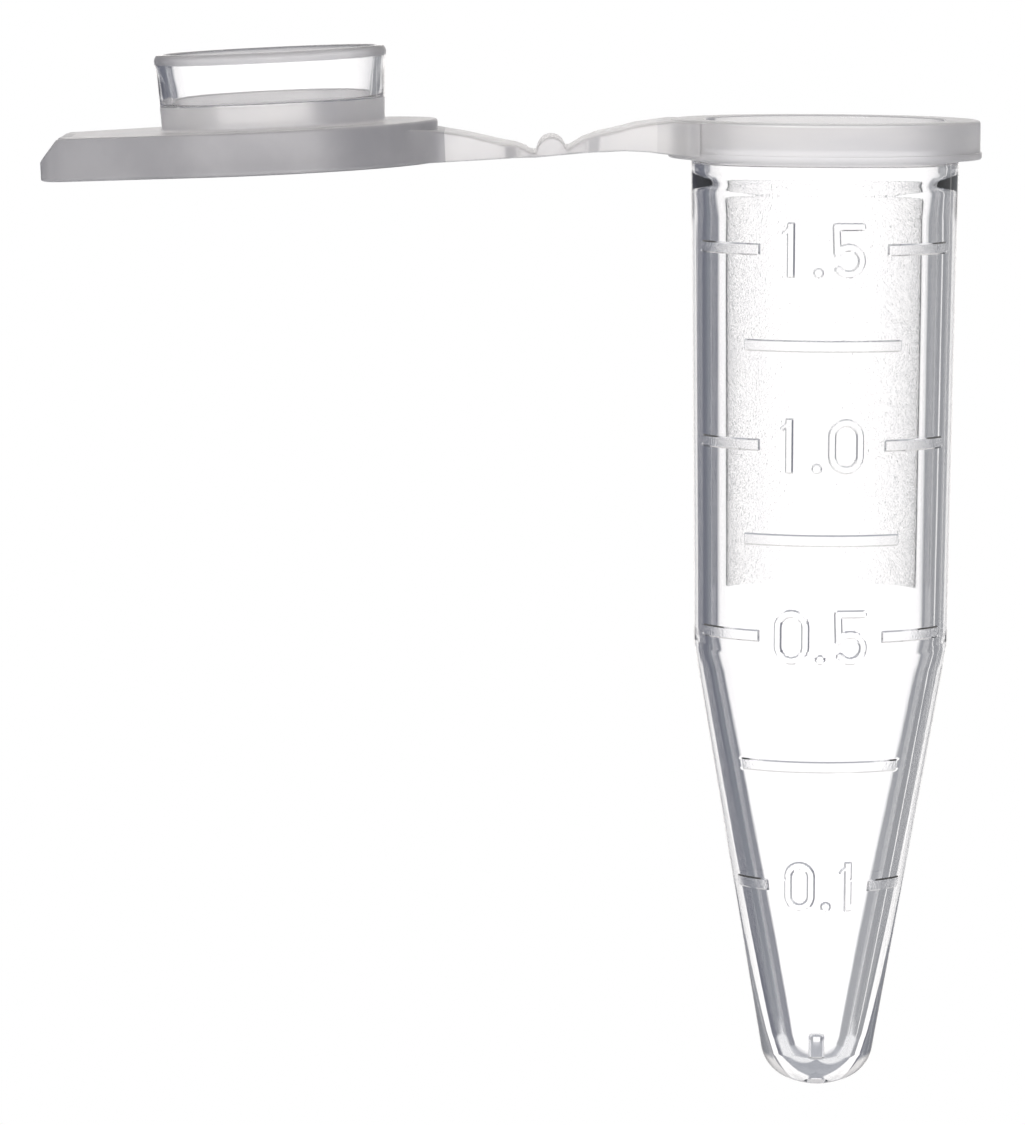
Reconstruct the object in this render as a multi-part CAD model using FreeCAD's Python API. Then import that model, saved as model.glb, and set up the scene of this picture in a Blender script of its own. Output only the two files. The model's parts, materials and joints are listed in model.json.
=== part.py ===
"""Microcentrifuge tube, 1.5 mL, with its hinged snap lid lying open.

The real tube is one polypropylene moulding. Each functional region of that moulding is a solid
of its own here, and neighbours meet face to face.

Frame: origin on the tube's axis in the plane of the collar's underside, +Z up the axis,
the lid towards -X, the graduations towards -Y. Millimetres.
"""
import FreeCAD, Part
import math
import os

V = FreeCAD.Vector
ORIGIN = V(0, 0, 0)
AXIS = V(0, 0, 1)
HINGE_AXIS = V(0, 1, 0)

# Collar and mouth
COLLAR_RADIUS = 6.3
COLLAR_HEIGHT = 1.55
MOUTH_RIM_RADIUS = 5.6          # where the mouth rim ends and the collar's flange starts
MOUTH_RADIUS = 4.86
MOUTH_CHAMFER = 0.1
MOUTH_LAND_BOTTOM = -0.5
SEAL_RADIUS = 4.72
SEAL_TOP = -1.35
SEAL_BOTTOM = -2.0
BORE_TOP_RADIUS = 4.62
BORE_TOP = -2.6

# Barrel
RACK_RADIUS = 5.4               # short true cylinder that sits in a rack or rotor hole
RACK_BOTTOM = -1.6
BARREL_TOP_RADIUS = 5.35        # where the drafted wall below that cylinder starts
BARREL_TOP = -2.4
CONE_TOP = -19.67
CONE_TOP_RADIUS = 5.12
CONE_TOP_BORE = 4.45

# Cone and tip
CONE_SLOPE = 0.174              # radius lost per millimetre of height
TIP_TOP = -33.15
TIP_BOTTOM = -37.62
TIP_WALL = 0.95
TIP_DOME_RADIUS = 2.95
TIP_CORNER_RADIUS = 1.65
FLOOR_HEIGHT = 0.82             # thickness of the tip on the axis
FLOOR_EDGE_HEIGHT = 1.5         # height above the tip's end where the dished floor meets the bore
GATE_NUB_RADIUS = 0.34
GATE_NUB_HEIGHT = 1.3

# Lid, measured from its own centre: u runs towards the hinge, n away from the sealing face
# on the plug's side
LID_RADIUS = 6.6
LID_THICKNESS = 1.72
LID_TOP_RECESS_RADIUS = 4.7
LID_TOP_RECESS = 0.12
PLUG_HEIGHT = 3.06
PLUG_BASE_RADIUS = 4.485
PLUG_TOP_RADIUS = 4.6
PLUG_LIP_RADIUS = 4.67
PLUG_LIP_HEIGHT = 0.55
PLUG_FLOOR_HEIGHT = 1.0
PLUG_BORE_BASE = 4.06
PLUG_BORE_TOP = 4.26
TAB_REACH = 9.3
TAB_HALF_WIDTH = 3.9
TAB_CORNER_RADIUS = 1.6
TAB_CHAMFER_REACH = 0.8
TAB_CHAMFER_DROP = 0.93
TAB_HEEL = 0.22                 # small bevel on the tab's outer edge
TAB_FLANK_ANGLE = 31.0          # where the tab's flanks leave the disc, in degrees back from its side

# Hinge: two flexible webs with a stiff beaded link between them
TUBE_FOLD_X = -9.8
TUBE_FOLD_Z = 0.43
LID_FOLD_U = 9.8
LID_FOLD_N = -1.38
SEAT_GAP = 0.02                 # between the closed lid and the collar
TUBE_FOLD_TRAVEL = 93.0
LID_FOLD_TRAVEL = 90.0
STRAP_HALF_WIDTH = 3.1
WEB_HALF_WIDTH = 2.6
STRAP_ROOT_OVERLAP = 1.0        # how far a strap is started inside its ring, then trimmed
TUBE_STRAP_END = (-9.2, 0.93, 0.28)     # x, top z and bottom z where the strap becomes the web
TUBE_WEB_END = (-10.4, 0.44, 0.165)     # the same where the web becomes the link
LINK_END = (-11.7, 0.24, 0.04)          # the same where the link becomes the lid's web
LID_STRAP_END = (9.2, -1.07, -1.64)     # u, upper n and lower n where that web becomes the lid's strap
BEAD_CREST = (-11.02, 0.85)

# Raised graduations, by height of the mark's centre
MARK_RISE = 0.06
MARKS_TURN = -2.4               # marks and writing panel are turned about the axis by this, off square
BAR_HEIGHT = 0.42
FULL_MARKS = {"1.5": -3.46, "1.0": -11.24, "0.5": -18.88, "0.1": -29.1}
HALF_MARKS = {"1.25": -7.27, "0.75": -15.01, "0.25": -24.17}
FULL_BAR_START = 28.5
FULL_BAR_END = 66.0
LOWEST_BAR_START = 35.0
HALF_BAR_END = 36.0
LOWEST_HALF_BAR_END = 45.0
STROKE = 0.27
DIGIT_HEIGHT = 2.15
DIGIT_WIDTH = 1.4
SMALL_DIGIT_HEIGHT = 2.0
SMALL_DIGIT_WIDTH = 1.2
ONE_WIDTH = 0.48
ONE_SPACE = (0.24, 0.66)        # empty space before and after a 1, which takes a full digit's room
SIGN_SPACE = (0.14, 0.14)       # the same for the other signs

# Frosted writing panel on the back of the barrel
PANEL_TOP = -2.4
PANEL_BOTTOM = -17.6
PANEL_HALF_ANGLE = 59.0
PANEL_RISE = 0.03

# Values that follow from the ones above
SEAT_Z = COLLAR_HEIGHT + SEAT_GAP
LINK_LENGTH = SEAT_Z - TUBE_FOLD_Z - LID_FOLD_N
TUBE_FOLD = V(TUBE_FOLD_X, 0, TUBE_FOLD_Z)
LID_FOLD_CLOSED = V(TUBE_FOLD_X, 0, TUBE_FOLD_Z + LINK_LENGTH)
FLOOR_Z = TIP_BOTTOM + FLOOR_HEIGHT


def outer_radius(z):
    """Outer radius of the tube's wall at height z, from the collar to the start of the tip's corner."""
    if z > RACK_BOTTOM:
        return RACK_RADIUS
    if z > BARREL_TOP:
        share = (RACK_BOTTOM - z) / (RACK_BOTTOM - BARREL_TOP)
        return RACK_RADIUS + share * (BARREL_TOP_RADIUS - RACK_RADIUS)
    if z > CONE_TOP:
        share = (BARREL_TOP - z) / (BARREL_TOP - CONE_TOP)
        return BARREL_TOP_RADIUS + share * (CONE_TOP_RADIUS - BARREL_TOP_RADIUS)
    return CONE_TOP_RADIUS - CONE_SLOPE * (CONE_TOP - z)


def flat_face(start, *steps):
    """Face in the XZ plane. A step is an (x, z) end point, or a (middle, end) pair for an arc."""
    here = V(start[0], 0, start[1])
    first = here
    edges = []
    for step in steps:
        if isinstance(step[0], tuple):
            middle = V(step[0][0], 0, step[0][1])
            there = V(step[1][0], 0, step[1][1])
            edges.append(Part.Arc(here, middle, there).toShape())
        else:
            there = V(step[0], 0, step[1])
            edges.append(Part.LineSegment(here, there).toShape())
        here = there
    if here.distanceToPoint(first) > 1e-7:
        edges.append(Part.LineSegment(here, first).toShape())
    return Part.Face(Part.Wire(edges))


def turned(face, first_angle=0.0, sweep=360.0):
    """Turn a face in the XZ plane about the tube's axis, from an azimuth measured from +X."""
    solid = face.revolve(ORIGIN, AXIS, sweep)
    solid.rotate(ORIGIN, AXIS, first_angle)
    return solid


def across(face, half_width):
    """Extrude a face in the XZ plane to both sides of it."""
    face.translate(V(0, -half_width, 0))
    return face.extrude(V(0, 2 * half_width, 0))


# ---------------------------------------------------------------- tube

def mouth_rim():
    return turned(flat_face(
        (MOUTH_RADIUS, 0),
        (MOUTH_RIM_RADIUS, 0),
        (MOUTH_RIM_RADIUS, COLLAR_HEIGHT),
        (MOUTH_RADIUS + MOUTH_CHAMFER, COLLAR_HEIGHT),
        (MOUTH_RADIUS, COLLAR_HEIGHT - MOUTH_CHAMFER),
    ))


def rim_collar():
    return turned(flat_face(
        (MOUTH_RIM_RADIUS, 0),
        (COLLAR_RADIUS, 0),
        (COLLAR_RADIUS, COLLAR_HEIGHT),
        (MOUTH_RIM_RADIUS, COLLAR_HEIGHT),
    ))


def tube_barrel():
    return turned(flat_face(
        (MOUTH_RADIUS, 0),
        (MOUTH_RADIUS, MOUTH_LAND_BOTTOM),
        (SEAL_RADIUS, SEAL_TOP),
        (SEAL_RADIUS, SEAL_BOTTOM),
        (BORE_TOP_RADIUS, BORE_TOP),
        (CONE_TOP_BORE, CONE_TOP),
        (CONE_TOP_RADIUS, CONE_TOP),
        (BARREL_TOP_RADIUS, BARREL_TOP),
        (RACK_RADIUS, RACK_BOTTOM),
        (RACK_RADIUS, 0),
    ))


def tube_cone():
    tip_radius = outer_radius(TIP_TOP)
    return turned(flat_face(
        (CONE_TOP_BORE, CONE_TOP),
        (CONE_TOP_RADIUS, CONE_TOP),
        (tip_radius, TIP_TOP),
        (tip_radius - TIP_WALL, TIP_TOP),
    ))


def tip_corner():
    """Centre of the tip's corner arc, which touches both the cone and the bottom dome."""
    dome_z = TIP_BOTTOM + TIP_DOME_RADIUS
    lean = math.hypot(1.0, CONE_SLOPE)
    reach = outer_radius(dome_z) - TIP_CORNER_RADIUS * lean
    gap = TIP_DOME_RADIUS - TIP_CORNER_RADIUS
    half_b = CONE_SLOPE * reach
    drop = (half_b + math.sqrt(half_b ** 2 - lean ** 2 * (reach ** 2 - gap ** 2))) / lean ** 2
    return reach - CONE_SLOPE * drop, dome_z - drop


def arc_point(centre, radius, angle):
    """Point on a circle in the (radius, z) plane, at an angle in radians below the horizontal."""
    return centre[0] + radius * math.cos(angle), centre[1] - radius * math.sin(angle)


def tube_tip():
    outer = outer_radius(TIP_TOP)
    inner = outer - TIP_WALL

    # Outside: cone, corner arc, bottom dome
    corner = tip_corner()
    dome = (0.0, TIP_BOTTOM + TIP_DOME_RADIUS)
    cone_angle = math.atan(CONE_SLOPE)
    meet_angle = math.atan2(dome[1] - corner[1], corner[0])
    corner_start = arc_point(corner, TIP_CORNER_RADIUS, cone_angle)
    corner_middle = arc_point(corner, TIP_CORNER_RADIUS, (cone_angle + meet_angle) / 2)
    corner_end = arc_point(corner, TIP_CORNER_RADIUS, meet_angle)
    dome_middle = arc_point(dome, TIP_DOME_RADIUS, (meet_angle + math.pi / 2) / 2)

    # Inside: the bore's cone ends in a dished floor, part of a sphere
    bore_slope = (CONE_TOP_BORE - inner) / (CONE_TOP - TIP_TOP)
    edge_z = TIP_BOTTOM + FLOOR_EDGE_HEIGHT
    edge = (inner - bore_slope * (TIP_TOP - edge_z), edge_z)
    depth = edge_z - FLOOR_Z
    dish_radius = (edge[0] ** 2 + depth ** 2) / (2 * depth)
    dish_angle = math.acos(edge[0] / dish_radius)
    dish_middle = arc_point((0.0, FLOOR_Z + dish_radius), dish_radius, (dish_angle + math.pi / 2) / 2)

    return turned(flat_face(
        (inner, TIP_TOP),
        (outer, TIP_TOP),
        corner_start,
        (corner_middle, corner_end),
        (dome_middle, (0.0, TIP_BOTTOM)),
        (0.0, FLOOR_Z),
        (dish_middle, edge),
    ))


def gate_nub():
    """Small moulding vestige that stands on the inner floor of the tip."""
    sunk = 0.1
    nub = Part.makeCylinder(GATE_NUB_RADIUS, GATE_NUB_HEIGHT + sunk, V(0, 0, FLOOR_Z - sunk))
    return nub.cut(tube_tip())


# ---------------------------------------------------------------- graduations

def mark_skin():
    """Layer as thick as the raised marks, on the outside of the barrel and the cone."""
    heights = (RACK_BOTTOM, BARREL_TOP, CONE_TOP, TIP_TOP)
    inside = [(outer_radius(z), z) for z in heights]
    outside = [(radius + MARK_RISE, z) for radius, z in reversed(inside)]
    return turned(flat_face(*inside, *outside))


def raised_patch(low, high, first, last, rise):
    """Patch on the tube's outside between two heights and two azimuths, measured from the marks' middle."""
    outline = flat_face(
        (outer_radius(low), low),
        (outer_radius(high), high),
        (outer_radius(high) + rise, high),
        (outer_radius(low) + rise, low),
    )
    return turned(outline, first - 90.0 + MARKS_TURN, last - first)


def bar(z, first, last):
    return raised_patch(z - BAR_HEIGHT / 2, z + BAR_HEIGHT / 2, first, last, MARK_RISE)


def full_bars():
    """A bar on each side of every numeral."""
    bars = []
    for label, z in FULL_MARKS.items():
        start = LOWEST_BAR_START if label == "0.1" else FULL_BAR_START
        bars.append(bar(z, start, FULL_BAR_END))
        bars.append(bar(z, -FULL_BAR_END, -start))
    return Part.makeCompound(bars)


def half_bars():
    """A centred bar half way between the numerals."""
    bars = []
    for label, z in HALF_MARKS.items():
        end = LOWEST_HALF_BAR_END if label == "0.25" else HALF_BAR_END
        bars.append(bar(z, -end, end))
    return Part.makeCompound(bars)


def block(left, bottom, width, height):
    """Bar of a glyph, as a prism through the front of the tube."""
    return Part.makeBox(width, COLLAR_RADIUS, height, V(left, -COLLAR_RADIUS, bottom))


def rod(centre_x, centre_z, radius):
    """Round prism through the front of the tube."""
    return Part.makeCylinder(radius, COLLAR_RADIUS, V(centre_x, -COLLAR_RADIUS, centre_z), V(0, 1, 0))


def loop(left, bottom, width, height, inset):
    """Filled loop with round ends, narrowed by inset all round."""
    radius = width / 2
    middle = left + radius
    filled = block(left + inset, bottom + radius, width - 2 * inset, height - width)
    filled = filled.fuse(rod(middle, bottom + radius, radius - inset))
    return filled.fuse(rod(middle, bottom + height - radius, radius - inset))


def zero(left, bottom, width, height):
    return loop(left, bottom, width, height, 0.0).cut(loop(left, bottom, width, height, STROKE))


def one(left, bottom, width, height):
    stem = block(left + width - STROKE, bottom, STROKE, height)
    return stem.fuse(block(left, bottom + height - 1.6 * STROKE, width - STROKE, STROKE * 0.7))


def five(left, bottom, width, height):
    bowl_height = height * 0.62
    radius = bowl_height / 2
    centre_x = left + width - radius
    ring = rod(centre_x, bottom + radius, radius).cut(rod(centre_x, bottom + radius, radius - STROKE))
    ring = ring.cut(block(left - width, bottom, centre_x - left + width, bowl_height))
    lower = block(left, bottom, centre_x - left, STROKE)
    upper = block(left, bottom + bowl_height - STROKE, centre_x - left, STROKE)
    back = block(left, bottom + bowl_height - STROKE, STROKE, height - bowl_height + STROKE)
    top = block(left, bottom + height - STROKE, width, STROKE)
    return ring.fuse([lower, upper, back, top])


def dot(left, bottom, width, height):
    return block(left, bottom, width, width)


GLYPHS = {"0": zero, "1": one, "5": five, ".": dot}


def numeral(label):
    """Raised numeral, centred on the front of the tube at its mark's height."""
    small = label == "0.1"
    height = SMALL_DIGIT_HEIGHT if small else DIGIT_HEIGHT
    wide = SMALL_DIGIT_WIDTH if small else DIGIT_WIDTH
    widths = {"0": wide, "5": wide, "1": ONE_WIDTH, ".": STROKE * 1.35}
    lefts = []
    end = 0.0
    for sign in label:
        before, after = ONE_SPACE if sign == "1" else SIGN_SPACE
        lefts.append(end + before)
        right = lefts[-1] + widths[sign]
        end = right + after
    middle = (lefts[0] + right) / 2
    skin = mark_skin()
    bottom = FULL_MARKS[label] - height / 2
    pieces = []
    for sign, left in zip(label, lefts):
        prism = GLYPHS[sign](left - middle, bottom, widths[sign], height)
        pieces += prism.common(skin).removeSplitter().Solids
    raised = Part.makeCompound(pieces)
    raised.rotate(ORIGIN, AXIS, MARKS_TURN)
    return raised


def writing_panel():
    """Frosted panel on the back of the barrel."""
    back = 180.0
    return raised_patch(PANEL_BOTTOM, PANEL_TOP, back - PANEL_HALF_ANGLE, back + PANEL_HALF_ANGLE, PANEL_RISE)


# ---------------------------------------------------------------- hinge

def tube_strap():
    """Wedge that carries the hinge, from the collar out to the tube's fold."""
    x, top, bottom = TUBE_STRAP_END
    root_x = -COLLAR_RADIUS + STRAP_ROOT_OVERLAP
    wedge = across(flat_face(
        (root_x, COLLAR_HEIGHT - 0.03),
        ((-7.6, 1.32), (x, top)),
        (x, bottom),
        ((-8.07, 0.34), (root_x, 0.1)),
    ), STRAP_HALF_WIDTH)
    return wedge.cut(Part.makeCylinder(COLLAR_RADIUS, 3 * COLLAR_HEIGHT, V(0, 0, -COLLAR_HEIGHT)))


def tube_fold_web():
    """Flexible web beside the tube's strap, thinnest next to the link."""
    strap_x, strap_top, strap_bottom = TUBE_STRAP_END
    link_x, link_top, link_bottom = TUBE_WEB_END
    return across(flat_face(
        (strap_x, strap_top),
        (-10.0, 0.62),
        (-10.28, link_top),
        (link_x, link_top),
        (link_x, link_bottom),
        (strap_x, strap_bottom),
    ), WEB_HALF_WIDTH)


def hinge_link():
    """Plate between the two webs."""
    tube_x, tube_top, tube_bottom = TUBE_WEB_END
    lid_x, lid_top, lid_bottom = LINK_END
    return across(flat_face(
        (tube_x, tube_top),
        (lid_x, lid_top),
        (lid_x, lid_bottom),
        (tube_x, tube_bottom),
    ), WEB_HALF_WIDTH)


def hinge_bead():
    """Round rib across the link."""
    tube_end = TUBE_WEB_END[:2]
    lid_end = LINK_END[:2]
    return across(flat_face(tube_end, (BEAD_CREST, lid_end)), WEB_HALF_WIDTH)


# ---------------------------------------------------------------- lid, built closed

def lid_face(*steps):
    """Outline in the lid's own (u, n) plane, as it lies on the closed tube."""
    placed = []
    for step in steps:
        if isinstance(step[0], tuple):
            placed.append(tuple((-u, SEAT_Z - n) for u, n in step))
        else:
            placed.append((-step[0], SEAT_Z - step[1]))
    return flat_face(*placed)


def opened(solid):
    """Swing a piece of the closed lid back through both folds."""
    solid.rotate(LID_FOLD_CLOSED, HINGE_AXIS, -LID_FOLD_TRAVEL)
    solid.rotate(TUBE_FOLD, HINGE_AXIS, -TUBE_FOLD_TRAVEL)
    return solid


def lid_point(x, z):
    """Lid coordinates (u, n) of a point given in the open tube's own frame."""
    droop = math.radians(TUBE_FOLD_TRAVEL + LID_FOLD_TRAVEL - 180.0)
    link_angle = math.radians(TUBE_FOLD_TRAVEL - 90.0)
    fold_x = TUBE_FOLD_X - LINK_LENGTH * math.cos(link_angle)
    fold_z = TUBE_FOLD_Z - LINK_LENGTH * math.sin(link_angle)
    along = (x - fold_x) * math.cos(droop) + (z - fold_z) * math.sin(droop)
    off = -(x - fold_x) * math.sin(droop) + (z - fold_z) * math.cos(droop)
    return LID_FOLD_U + along, LID_FOLD_N + off


def lid_fold_web():
    """Flexible web beside the lid's strap. It meets the link where the link ends."""
    strap_u, strap_top, strap_bottom = LID_STRAP_END
    link_x, link_top, link_bottom = LINK_END
    return across(lid_face(
        (strap_u, strap_top),
        (9.73, -1.17),
        (10.15, -1.37),
        (10.28, -1.47),
        lid_point(link_x, link_top),
        lid_point(link_x, link_bottom),
        (strap_u, strap_bottom),
    ), WEB_HALF_WIDTH)


def lid_strap():
    """Wedge from the lid's rim out to the lid's fold."""
    fold_u, top, bottom = LID_STRAP_END
    root_u = LID_RADIUS - STRAP_ROOT_OVERLAP
    wedge = across(lid_face(
        (root_u, -0.3),
        ((7.8, -0.68), (fold_u, top)),
        (fold_u, bottom),
        (root_u, 0.02 - LID_THICKNESS),
    ), STRAP_HALF_WIDTH)
    return wedge.cut(Part.makeCylinder(LID_RADIUS, 3 * LID_THICKNESS, V(0, 0, SEAT_Z - LID_THICKNESS)))


def lid_disc():
    """Round cover, with a shallow recess in its outer face for a written label."""
    return turned(lid_face(
        (0, 0),
        (0, LID_TOP_RECESS - LID_THICKNESS),
        (-LID_TOP_RECESS_RADIUS, LID_TOP_RECESS - LID_THICKNESS),
        (-LID_TOP_RECESS_RADIUS, -LID_THICKNESS),
        (-LID_RADIUS, -LID_THICKNESS),
        (-LID_RADIUS, 0),
    ))


def tab_plan():
    """Plan of the thumb tab as thick as the lid: straight flanks from the disc to two rounded corners."""
    corner_x = TAB_REACH - TAB_CORNER_RADIUS
    corner_y = TAB_HALF_WIDTH - TAB_CORNER_RADIUS
    leave = math.radians(90.0 - TAB_FLANK_ANGLE)
    flank = V(LID_RADIUS * math.cos(leave), LID_RADIUS * math.sin(leave), 0)
    to_corner = V(corner_x, corner_y, 0) - flank
    heading = math.atan2(to_corner.y, to_corner.x) + math.asin(TAB_CORNER_RADIUS / to_corner.Length)
    touch_angle = heading + math.pi / 2
    half_angle = touch_angle / 2

    def corner_point(angle):
        reach = V(math.cos(angle), math.sin(angle), 0) * TAB_CORNER_RADIUS
        return V(corner_x, corner_y, 0) + reach

    def mirrored(point):
        return V(point.x, -point.y, 0)

    touch, middle, end = corner_point(touch_angle), corner_point(half_angle), corner_point(0.0)
    outline = Part.Wire([
        Part.makeLine(flank, touch),
        Part.Arc(touch, middle, end).toShape(),
        Part.makeLine(end, mirrored(end)),
        Part.Arc(mirrored(end), mirrored(middle), mirrored(touch)).toShape(),
        Part.makeLine(mirrored(touch), mirrored(flank)),
        Part.makeLine(mirrored(flank), flank),
    ])
    outline.translate(V(0, 0, SEAT_Z))
    return Part.Face(outline).extrude(V(0, 0, LID_THICKNESS))


def thumb_tab():
    """Lip opposite the hinge that a thumb lifts. Its plug side is chamfered."""
    wedge = across(lid_face(
        (0, 0),
        (-TAB_REACH + TAB_CHAMFER_REACH, 0),
        (-TAB_REACH, -TAB_CHAMFER_DROP),
        (-TAB_REACH, -LID_THICKNESS + TAB_HEEL),
        (-TAB_REACH + TAB_HEEL, -LID_THICKNESS),
        (0, -LID_THICKNESS),
    ), LID_RADIUS)
    disc = Part.makeCylinder(LID_RADIUS, LID_THICKNESS, V(0, 0, SEAT_Z))
    return wedge.common(tab_plan()).cut(disc).removeSplitter()


def plug_floor():
    """Thick floor inside the root of the plug."""
    return turned(lid_face(
        (0, 0),
        (0, PLUG_FLOOR_HEIGHT),
        (-PLUG_BORE_BASE, PLUG_FLOOR_HEIGHT),
        (-PLUG_BORE_BASE, 0),
    ))


def plug_bore(n):
    """Inner radius of the plug's skirt at a height above the sealing face."""
    share = (n - PLUG_FLOOR_HEIGHT) / (PLUG_HEIGHT - PLUG_FLOOR_HEIGHT)
    return PLUG_BORE_BASE + share * (PLUG_BORE_TOP - PLUG_BORE_BASE)


def plug_skirt():
    """Thin skirt of the plug, up to its sealing lip."""
    lip_start = PLUG_HEIGHT - PLUG_LIP_HEIGHT
    return turned(lid_face(
        (-PLUG_BORE_BASE, 0),
        (-PLUG_BASE_RADIUS, 0),
        (-PLUG_TOP_RADIUS, lip_start),
        (-plug_bore(lip_start), lip_start),
        (-PLUG_BORE_BASE, PLUG_FLOOR_HEIGHT),
    ))


def plug_lip():
    """Rounded sealing lip round the plug's free end."""
    lip_start = PLUG_HEIGHT - PLUG_LIP_HEIGHT
    crown = PLUG_HEIGHT - 0.12
    return turned(lid_face(
        (-plug_bore(lip_start), lip_start),
        (-PLUG_TOP_RADIUS, lip_start),
        ((-PLUG_LIP_RADIUS, PLUG_HEIGHT - PLUG_LIP_HEIGHT / 2), (-PLUG_TOP_RADIUS, crown)),
        (-PLUG_TOP_RADIUS + 0.12, PLUG_HEIGHT),
        (-plug_bore(PLUG_HEIGHT), PLUG_HEIGHT),
    ))


NODES = {
    "mouth_rim": mouth_rim,
    "rim_collar": rim_collar,
    "tube_barrel": tube_barrel,
    "tube_cone": tube_cone,
    "tube_tip": tube_tip,
    "gate_nub": gate_nub,
    "full_volume_bars": full_bars,
    "half_volume_bars": half_bars,
    "numeral_1_5": lambda: numeral("1.5"),
    "numeral_1_0": lambda: numeral("1.0"),
    "numeral_0_5": lambda: numeral("0.5"),
    "numeral_0_1": lambda: numeral("0.1"),
    "writing_panel": writing_panel,
    "tube_strap": tube_strap,
    "tube_fold_web": tube_fold_web,
    "hinge_link": hinge_link,
    "hinge_bead": hinge_bead,
    "lid_fold_web": lambda: opened(lid_fold_web()),
    "lid_strap": lambda: opened(lid_strap()),
    "lid_disc": lambda: opened(lid_disc()),
    "thumb_tab": lambda: opened(thumb_tab()),
    "plug_floor": lambda: opened(plug_floor()),
    "plug_skirt": lambda: opened(plug_skirt()),
    "plug_lip": lambda: opened(plug_lip()),
}


def main():
    os.makedirs("parts", exist_ok=True)
    for name, make in NODES.items():
        shape = make()
        shape.exportStep(f"parts/{name}.step")
        print(name, len(shape.Solids), "solid(s)", round(shape.Volume, 3), "mm3", shape.isValid())


main()
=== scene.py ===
"""Looks of an open 1.5 mL microcentrifuge tube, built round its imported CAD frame.

The real tube is one clear, slightly milky polypropylene moulding. So the tube with its strap,
fold and link is one closed skin, and the lid with its plug, tab, strap and fold is another. The
volume marks are raised in the tube's own skin. Lengths are millimetres until a mesh is made.
"""
import json
import math

import bmesh
import bpy
import numpy as np
from mathutils import Matrix, Vector


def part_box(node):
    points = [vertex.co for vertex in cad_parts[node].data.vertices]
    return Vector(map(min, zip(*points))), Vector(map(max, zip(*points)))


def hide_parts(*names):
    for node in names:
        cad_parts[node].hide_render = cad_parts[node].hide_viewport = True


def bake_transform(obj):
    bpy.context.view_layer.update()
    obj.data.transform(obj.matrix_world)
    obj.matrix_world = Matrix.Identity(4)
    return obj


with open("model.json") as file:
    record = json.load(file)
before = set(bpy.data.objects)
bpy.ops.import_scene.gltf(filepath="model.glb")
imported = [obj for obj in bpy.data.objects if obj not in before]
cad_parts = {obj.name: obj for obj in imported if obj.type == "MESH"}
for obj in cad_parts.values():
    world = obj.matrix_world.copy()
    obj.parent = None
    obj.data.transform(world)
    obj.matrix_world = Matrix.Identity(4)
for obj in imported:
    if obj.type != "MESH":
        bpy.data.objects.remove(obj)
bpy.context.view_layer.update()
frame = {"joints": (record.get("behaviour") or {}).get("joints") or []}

MM = 0.001
# The lid's slot holds the milky plastic painted darker grey, a painted shade on the lid's outer face, edge
# and plug lip.
CLEAR, RIM, MARKS, FROSTED, SHADED_LID, STRAP = range(6)     # material slots of both pieces


def box_mm(node):
    """Lowest and highest corner of a CAD node, in millimetres."""
    low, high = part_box(node)
    return low / MM, high / MM


def joint_mm(name):
    """Place of a joint, in millimetres."""
    joint = next(j for j in frame["joints"] if j["name"] == name)
    return Vector(joint["pos_m"]) / MM


# ------------------------------------------------------------------ sizes

# From the frame, whose z axis is the tube's own, with 0 at the collar's underside
collar_high = box_mm("rim_collar")[1]
barrel_high = box_mm("tube_barrel")[1]
cone_high = box_mm("tube_cone")[1]
tip_low, tip_high = box_mm("tube_tip")
COLLAR_RADIUS = collar_high.x
COLLAR_TOP = collar_high.z
RACK_RADIUS = barrel_high.x
CONE_TOP = cone_high.z
CONE_TOP_RADIUS = cone_high.x
TIP_TOP = tip_high.z
TIP_TOP_RADIUS = tip_high.x
TIP_BOTTOM = tip_low.z
LID_FOLD = joint_mm("lid_fold")

# Tube, outside
RACK_BOTTOM = -1.6
BARREL_TOP = -2.4
BARREL_TOP_RADIUS = 5.35
COLLAR_EDGE = 0.14              # rounding of the collar's outer edges
COLLAR_LIP = 0.27               # height of the thin lip round the collar's foot
COLLAR_STEP = 0.06              # how far the lip stands out
ROOT_FILLET = 0.12              # fillet between the barrel and the collar's underside
RIM_MILK_BOTTOM = -0.25         # the collar's milkiness reaches down the wall to this height
CONE_SLOPE = (CONE_TOP_RADIUS - TIP_TOP_RADIUS) / (CONE_TOP - TIP_TOP)
BARREL_SLOPE = (BARREL_TOP_RADIUS - CONE_TOP_RADIUS) / (BARREL_TOP - CONE_TOP)
RIM_RADIUS = BARREL_TOP_RADIUS - BARREL_SLOPE * BARREL_TOP      # the barrel's line carried up to z = 0
WALL_HEIGHTS = [TIP_BOTTOM, CONE_TOP, 0.0]
WALL_RADII = [CONE_TOP_RADIUS - CONE_SLOPE * (CONE_TOP - TIP_BOTTOM), CONE_TOP_RADIUS, RIM_RADIUS]
FLARE_HEIGHT = 2.0              # the wall flares to the rack's radius over about this height
ROW_FINE = 0.055                # spacing of the wall's rows where there is a mark, and elsewhere
ROW_COARSE = 0.45
ROW_MARGIN = 0.1                # fine rows reach this far beyond a mark
ROW_GROWTH = 0.6                # how fast the spacing grows with the distance from a mark
TIP_DOME_RADIUS = 2.95
TIP_CORNER_RADIUS = 1.65

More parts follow.
